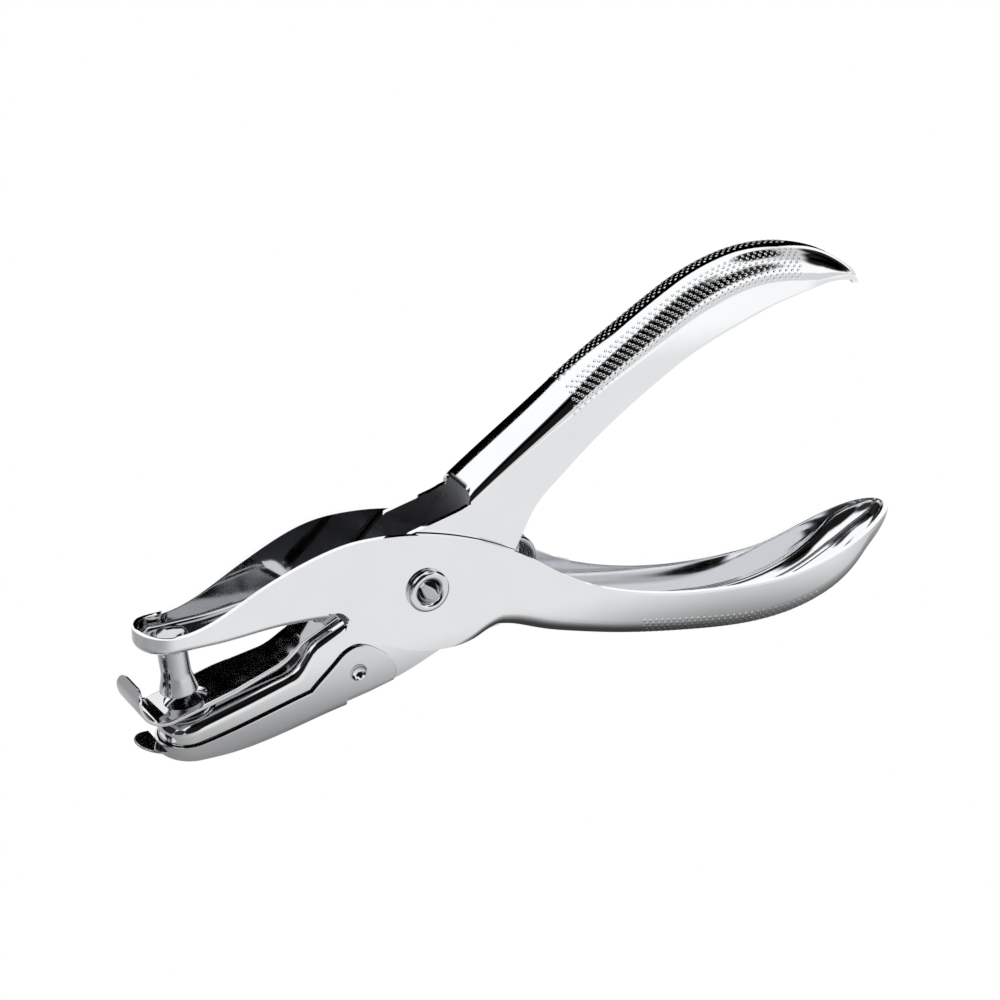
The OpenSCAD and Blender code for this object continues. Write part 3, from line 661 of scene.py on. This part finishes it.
# Chip tray
# Thin sheet tray under the lower jaw that catches the punched chips. Its two ears snap
# by pressed dimples into the inner lever's walls, and a lip at the nose opens it.
TRAY, TRAY_HALF = 0.35, 5.25
TRAY_FLOOR = [(-43, -20.7, 0), (-34.433, -20.7, 0), (-13.5, -17.1, 10)]
TRAY_RIM = [(-42.9331, -17.9, 0), (-37.4331, -17.5, 9), (-19.2, -13.2, 13)]
TRAY_EAR = [(-19.2, -13.2, 46), (-14.4, -8.7, 46), (-11.2, -7.3, 0), (-6.4, -9.9, -38),
            (-5, -12.8, -88)]
EAR_FOOT = [(-13.5, -16.1), (-9.5, -15.3), (-5.6, -14.3), (-5, -12.85)]
TRAY_BEND = [(-43, 1.8), (-36, 1.4), (-20, 1.1), (-13.5, 1.0)]
TRAY_SIDE = [(-38, TRAY_HALF, 0), (0, TRAY_HALF, 0)]
TRAY_OPEN = (-13.5, 20)                 # behind its floor the tray is only two ears
TRAY_ROWS = (10, 6, 5)
tray_stations = outline((DIE_MID[0], TRAY_HALF, TRAY_HALF), edge_line(TRAY_SIDE), None,
                        (DIE_MID[0], TRAY_EAR[0][0], TRAY_OPEN[0], EAR_FOOT[2][0], EAR_FOOT[3][0]),
                        step=0.6, turns=16)
tray_blank = press_channel(
    tray_stations, edge_line(TRAY_FLOOR), edge_line(TRAY_RIM)[:-1] + edge_line(TRAY_EAR),
    straight_line(EAR_FOOT), [straight_line(TRAY_BEND)] * 2, straight_line(NO_CURL),
    TRAY_OPEN, up=1, rows=TRAY_ROWS)
tray = make_piece(tray_blank, "chip_tray_sheet")
# Bright chrome on thin sheet: a greyer mirror that the soft sheet bends in long waves
tray_chrome = plated_steel("bright_chrome_thin_sheet", "#DDDEE0", "#CFD0D2", 0.05, 0.10,
                           wave_mm=6.0, wave=0.004)
tray.data.materials.append(tray_chrome)
give_thickness(tray, TRAY, edge=0.08)
DIMPLE_R, DIMPLE_DEEP, BOSS_R, BOSS_IN = 1.4, 0.8, 1.7, 0.8
ball = (DIMPLE_R ** 2 + DIMPLE_DEEP ** 2) / (2 * DIMPLE_DEEP)
bosses, cups = [], []
for side in (-1, 1):
    ear = Matrix.Translation((HINGE[0], side * TRAY_HALF, HINGE[1]))
    ear = ear @ (ACROSS if side < 0 else ACROSS.inverted())
    bosses.append(turned([(0, -0.3), (BOSS_R, -0.3), (BOSS_R, -TRAY - 0.3)]
                         + arc(0, -TRAY - 0.3, BOSS_R, BOSS_IN - 0.3, 0, -90, 8)[1:], ear, 48))
    cup = bmesh.new()
    bmesh.ops.create_uvsphere(cup, u_segments=48, v_segments=32, radius=ball,
                              matrix=ear @ Matrix.Translation((0, 0, ball - DIMPLE_DEEP)))
    for face in cup.faces:
        face.smooth = True
    cups.append(cup)
LIP_LONG, LIP_HALF, LIP_TILT, LIP_EDGE = 3.6, 3.8, 11, 0.15
LIP_ROOT = (-42.6331, 0, -18.5)
lip = bmesh.new()
bmesh.ops.create_circle(lip, cap_ends=True, segments=64, radius=1)
bmesh.ops.transform(lip, matrix=Matrix.Diagonal((LIP_LONG, LIP_HALF, 1, 1)), verts=lip.verts)
lip_wall = bmesh.ops.extrude_face_region(lip, geom=lip.faces[:])["geom"]
bmesh.ops.translate(lip, vec=(0, 0, TRAY), verts=[v for v in lip_wall
                                                  if isinstance(v, bmesh.types.BMVert)])
bmesh.ops.bisect_plane(lip, geom=lip.verts[:] + lip.edges[:] + lip.faces[:], plane_co=(0, 0, 0),
                       plane_no=(1, 0, 0), clear_outer=True)
bmesh.ops.contextual_create(lip, geom=[e for e in lip.edges if e.is_boundary])
bmesh.ops.bevel(lip, geom=[e for e in lip.edges if e.calc_face_angle(0) > 1.2
                           and max(v.co.x for v in e.verts) < -0.05],
                offset=LIP_EDGE, segments=3, profile=0.5, affect="EDGES", material=-1)
bmesh.ops.recalc_face_normals(lip, faces=lip.faces)
bmesh.ops.transform(lip, verts=lip.verts, matrix=Matrix.Translation(LIP_ROOT)
                    @ Matrix.Rotation(math.radians(LIP_TILT), 4, "Y"))
keep_shape(tray, cuts=cups, joins=bosses + [lip])
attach(tray, "tray_body")
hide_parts("chip_tray")

# Floor, light, camera
# A white table and a studio of soft white and dark cards round it, as for small chrome
# goods. The table that the camera sees and the one that the chrome mirrors are two: the
# first lies lower, so that the chip tray can swing open above it.
SEEN_TABLE, MIRRORED_TABLE = -0.030, -0.0003


def card(name, place, size, strength, seen=False):
    """A flat card that gives or keeps back light. Only reflections see it, unless seen is set."""
    made = bmesh.new()
    bmesh.ops.create_grid(made, x_segments=1, y_segments=1, size=0.5)
    bmesh.ops.transform(made, matrix=place @ Matrix.Diagonal((*size, 1, 1)), verts=made.verts)
    mesh = bpy.data.meshes.new(name)
    made.to_mesh(mesh)
    made.free()
    board = bpy.data.objects.new(name, mesh)
    bpy.context.scene.collection.objects.link(board)
    glow = bpy.data.materials.new(name)
    glow.use_nodes = True
    glow.node_tree.nodes.clear()
    light = add_node(glow.node_tree, "ShaderNodeEmission", None,
                     {"Strength": strength, "Color": (1, 1, 1, 1)})
    add_node(glow.node_tree, "ShaderNodeOutputMaterial", None, None,
             {"Surface": light.outputs["Emission"]})
    mesh.materials.append(glow)
    board.visible_camera = seen
    board.visible_shadow = board.visible_diffuse = False
    return board


floor = card("white_table", Matrix.Translation((0, 0, SEEN_TABLE)), (6, 6), 1.0, seen=True)
floor.visible_glossy = False
# The mirrored table darkens under the punch, as a shadow does, brightens well in front of it and
# turns grey at its far ends
mirrored = card("mirrored_table", Matrix.Translation((0, 0, MIRRORED_TABLE)), (3, 3), 1.0)
tree = mirrored.data.materials[0].node_tree
spread = add_node(tree, "ShaderNodeMapping", {"vector_type": "TEXTURE"},
                  {"Location": (0.015, 0, 0), "Scale": (0.140, 0.030, 1)},
                  {"Vector": add_node(tree, "ShaderNodeTexCoord").outputs["Object"]})
away = add_node(tree, "ShaderNodeVectorMath", {"operation": "LENGTH"}, None,
                {0: spread.outputs["Vector"]})
shadow = add_node(tree, "ShaderNodeMapRange", {"interpolation_type": "SMOOTHSTEP"},
                  {"From Min": 0.15, "From Max": 1.0, "To Min": 0.05, "To Max": 0.94},
                  {"Value": away.outputs["Value"]})
beyond = add_node(tree, "ShaderNodeMapRange", {"interpolation_type": "SMOOTHSTEP"},
                  {"From Min": 3.5, "From Max": 3.95, "To Min": 0.0, "To Max": 0.22},
                  {"Value": away.outputs["Value"]})
far_end = add_node(tree, "ShaderNodeMapRange", {"interpolation_type": "SMOOTHSTEP"},
                   {"From Min": 4.7, "From Max": 6.0, "To Min": 1.0, "To Max": 0.70},
                   {"Value": away.outputs["Value"]})
open_table = add_node(tree, "ShaderNodeMath", {"operation": "ADD"}, None,
                      {0: shadow.outputs["Result"], 1: beyond.outputs["Result"]})
whole = add_node(tree, "ShaderNodeMath", {"operation": "MULTIPLY"}, None,
                 {0: open_table.outputs["Value"], 1: far_end.outputs["Result"]})
# Left of the nose the table is greyer
sideways = add_node(tree, "ShaderNodeSeparateXYZ", None, None,
                    {"Vector": add_node(tree, "ShaderNodeTexCoord").outputs["Object"]})
leftward = add_node(tree, "ShaderNodeMapRange", {"interpolation_type": "SMOOTHSTEP"},
                    {"From Min": -0.090, "From Max": -0.036, "To Min": 0.45, "To Max": 1.0},
                    {"Value": sideways.outputs["X"]})
toned = add_node(tree, "ShaderNodeMath", {"operation": "MULTIPLY"}, None,
                 {0: whole.outputs["Value"], 1: leftward.outputs["Result"]})
tree.links.new(toned.outputs["Value"], tree.nodes["Emission"].inputs["Strength"])

# Dark flags that stand behind the punch: centre and size in mm, and turn in degrees. The first
# two darken the far side of the upper handle, the next two the stripper, the last the tray's lip.
STANDING = {"handle_flag": ((9.3, 15, 52.0), (51.6, 16.6), 37.3),
            "crest_flag": ((44, 15, 64.7), (40, 24.4), 8),
            "strip_flag": ((-34, 30, 31.5), (20, 15), 0),
            "strip_end_flag": ((-48.5, 30, 29.5), (9, 15), 0),
            "lip_flag": ((25, 150, 58), (70, 47), 0)}
for name, (middle, size, turn) in STANDING.items():
    facing = Matrix.Rotation(math.radians(-turn), 4, "Y") @ ACROSS
    card(name, Matrix.Translation(Vector(middle) / 1000) @ facing, Vector(size) / 1000, 0)

# White all round, grey below the table and a dark room behind the camera, with smaller dark
# panels: azimuth, elevation, reach and soft edge in degrees, and tone
WHITE = 1.5
PANELS = [(0, -90, 88, 2, 0.4), (-164, 24, 33, 4, 0.01), (-160, 55, 16, 4, 0.02),
          (158, 28, 15, 4, 0.02), (72, 18, 17, 3, 0.02), (92, 20, 18, 3, 0.02),
          (106, 18, 15, 3, 0.02), (90, 40, 28, 8, 0.62), (62, 60, 11, 3, 0.02),
          (85, 63, 13, 3, 0.02), (108, 60, 11, 3, 0.02), (-113, 12, 19, 4, 0.03),
          (-80, 43, 9, 2, 0.03), (-62, 41, 9, 2, 0.03), (-68, 14, 26, 4, 0.02),
          (-32, 10, 20, 3, 0.02), (-10, 10, 20, 3, 0.02)]
world = bpy.data.worlds.new("studio")
world.use_nodes = True
bpy.context.scene.world = world
sky = world.node_tree
sky.nodes.clear()
way = add_node(sky, "ShaderNodeTexCoord").outputs["Generated"]
light = add_node(sky, "ShaderNodeValue")
light.outputs["Value"].default_value = WHITE
for azimuth, elevation, reach, soft, tone in PANELS:
    a, e = math.radians(azimuth), math.radians(elevation)
    centre = add_node(sky, "ShaderNodeVectorMath", {"operation": "DOT_PRODUCT"}, None, {0: way})
    facing = Vector((math.sin(a) * math.cos(e), math.cos(a) * math.cos(e), math.sin(e)))
    centre.inputs[1].default_value = facing
    keep = add_node(sky, "ShaderNodeMapRange", {"interpolation_type": "SMOOTHSTEP"},
                    {"From Min": math.cos(math.radians(reach + soft)),
                     "From Max": math.cos(math.radians(reach - soft)), "To Min": 1.0,
                     "To Max": tone}, {"Value": centre.outputs["Value"]})
    light = add_node(sky, "ShaderNodeMath", {"operation": "MULTIPLY"}, None,
                     {0: light.outputs["Value"], 1: keep.outputs["Result"]})
glow = add_node(sky, "ShaderNodeBackground", None, None, {"Strength": light.outputs["Value"]})
add_node(sky, "ShaderNodeOutputWorld", None, None, {"Surface": glow.outputs["Background"]})

# Camera at the photograph's angle: long lens, left of the front and a little above
AZIMUTH, ELEVATION, FAR_MM = math.radians(-27.7), math.radians(25.4), 600.0
FOCAL_PX, AIM_PX, HALF_PX = 3960.0, (430.5, 592.5), 500
RIVET_RIM = Vector((0, -6.9, 0))        # what the camera aims at
SENSOR_MM = 36
right = Vector((math.cos(AZIMUTH), math.sin(AZIMUTH), 0))
ahead = Vector((-math.sin(AZIMUTH) * math.cos(ELEVATION), math.cos(AZIMUTH) * math.cos(ELEVATION),
                -math.sin(ELEVATION)))
upward = right.cross(ahead)
eye = (RIVET_RIM - right * (AIM_PX[0] - HALF_PX) * FAR_MM / FOCAL_PX
       + upward * (AIM_PX[1] - HALF_PX) * FAR_MM / FOCAL_PX - ahead * FAR_MM)
lens = bpy.data.cameras.new("photo_camera")
lens.sensor_width, lens.lens = SENSOR_MM, SENSOR_MM * FOCAL_PX / (2 * HALF_PX)
camera = bpy.data.objects.new("photo_camera", lens)
bpy.context.scene.collection.objects.link(camera)
camera.matrix_world = Matrix.Translation(TO_FRAME @ eye) @ Matrix(
    (right, upward, -ahead)).transposed().to_4x4()
lens.clip_start, lens.clip_end = 0.01, 20
bpy.context.scene.camera = camera
bpy.context.scene.view_settings.view_transform = "Standard"
